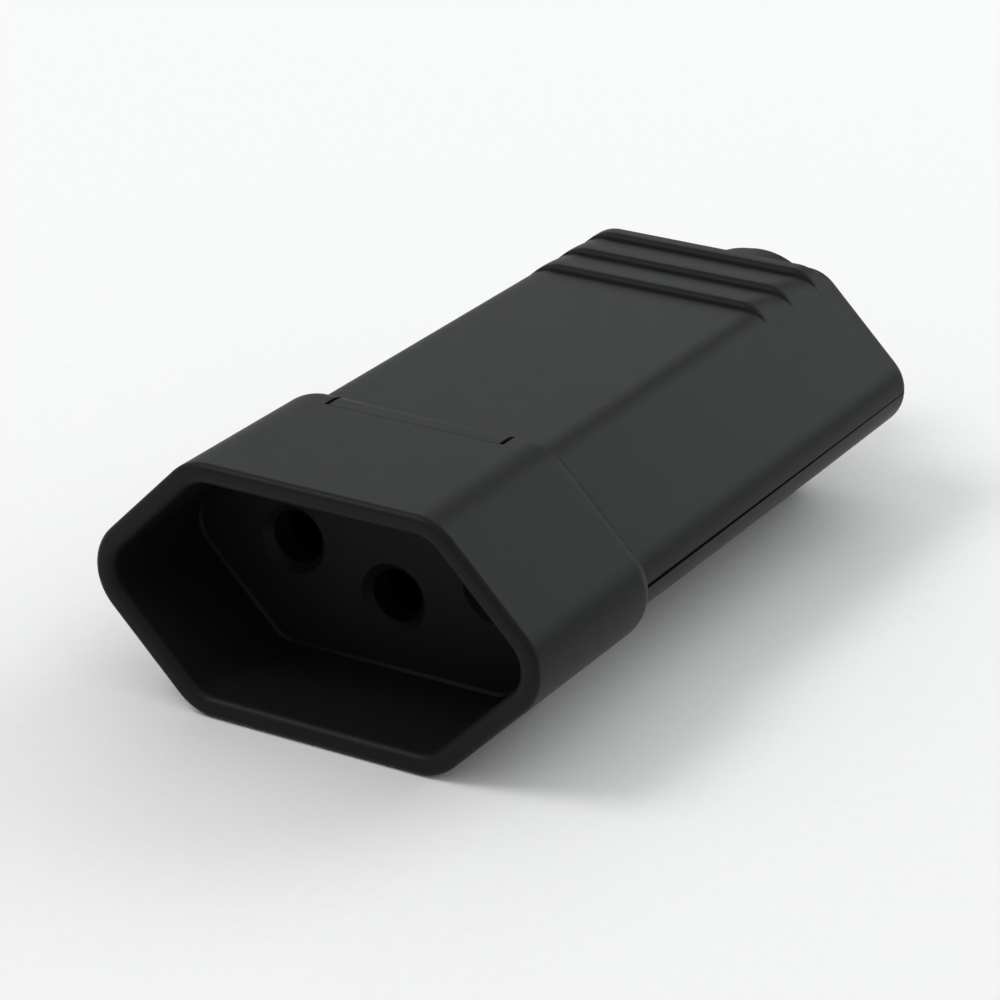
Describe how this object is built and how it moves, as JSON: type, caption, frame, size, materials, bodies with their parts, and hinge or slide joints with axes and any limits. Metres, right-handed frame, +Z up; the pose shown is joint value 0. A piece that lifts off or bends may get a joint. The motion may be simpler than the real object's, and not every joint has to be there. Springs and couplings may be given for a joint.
{
  "type": "in-line socket",
  "caption": "Flat six-sided in-line socket with a deep shrouded mouth, sunk round pin holes, a split body with grip ridges and a round cable neck.",
  "frame": {"origin": "on the surface that the socket lies on, below the middle of its length and width", "axes": "+Y from the mouth to the cable neck, +Z up through the joint between the covers, +X to the right of someone who looks into the mouth"},
  "size_m": [0.041, 0.0768, 0.022],
  "materials": {
    "housing_plastic": "fine moulded grain, black",
    "socket_face_plastic": "fine moulded grain, deep black",
    "inner_plastic": "plain moulded, off-white",
    "contact_brass": "drawn and turned",
    "spring_steel": "rolled strip",
    "zinc_plated_steel": "bright zinc plate"
  },
  "bodies": {
    "root": {"contact_block": "socket_face_plastic", "contact_retainer": "inner_plastic", "cord_clamp": "inner_plastic", "cord_clamp_screw_left": "zinc_plated_steel", "cord_clamp_screw_right": "zinc_plated_steel", "cover_nut_left": "zinc_plated_steel", "cover_nut_right": "zinc_plated_steel", "cover_screw_left": "zinc_plated_steel", "cover_screw_right": "zinc_plated_steel", "earth_contact": "contact_brass", "earth_contact_spring": "spring_steel", "earth_terminal_screw": "zinc_plated_steel", "line_contact": "contact_brass", "line_contact_spring": "spring_steel", "line_terminal_screw": "zinc_plated_steel", "lower_cover": "housing_plastic", "neutral_contact": "contact_brass", "neutral_contact_spring": "spring_steel", "neutral_terminal_screw": "zinc_plated_steel", "shroud": "housing_plastic", "upper_cover": "housing_plastic"}
  },
  "joints": []
}
